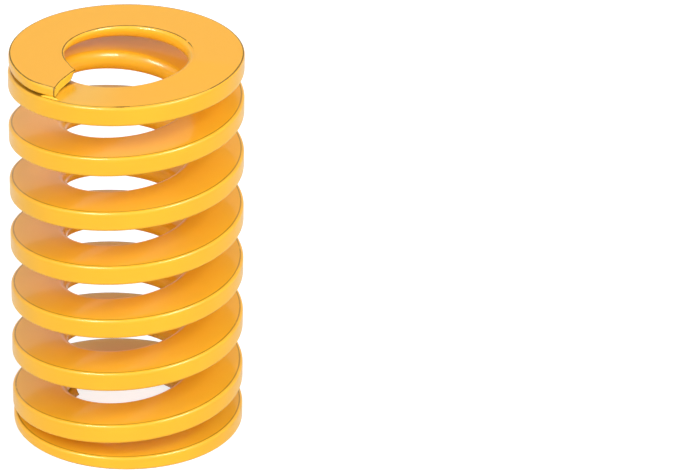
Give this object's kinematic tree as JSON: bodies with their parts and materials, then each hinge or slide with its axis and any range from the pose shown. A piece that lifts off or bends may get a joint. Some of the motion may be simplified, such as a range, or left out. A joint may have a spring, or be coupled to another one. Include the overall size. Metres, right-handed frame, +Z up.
{
  "type": "die spring",
  "caption": "Compression spring of rectangular wire with closed, ground flat ends and a bore for a guide rod; it pushes tool plates apart.",
  "frame": {"origin": "on the spring's axis, in the plane of its bottom ground face", "axes": "+Z up along the spring's axis, +X to the right and -Y toward the viewer of the picture"},
  "size_m": [0.0344, 0.0344, 0.06],
  "materials": {
    "spring_paint": "gloss yellow-orange enamel over spring steel"
  },
  "bodies": {
    "root": {"spring": "spring_paint"}
  },
  "joints": []
}
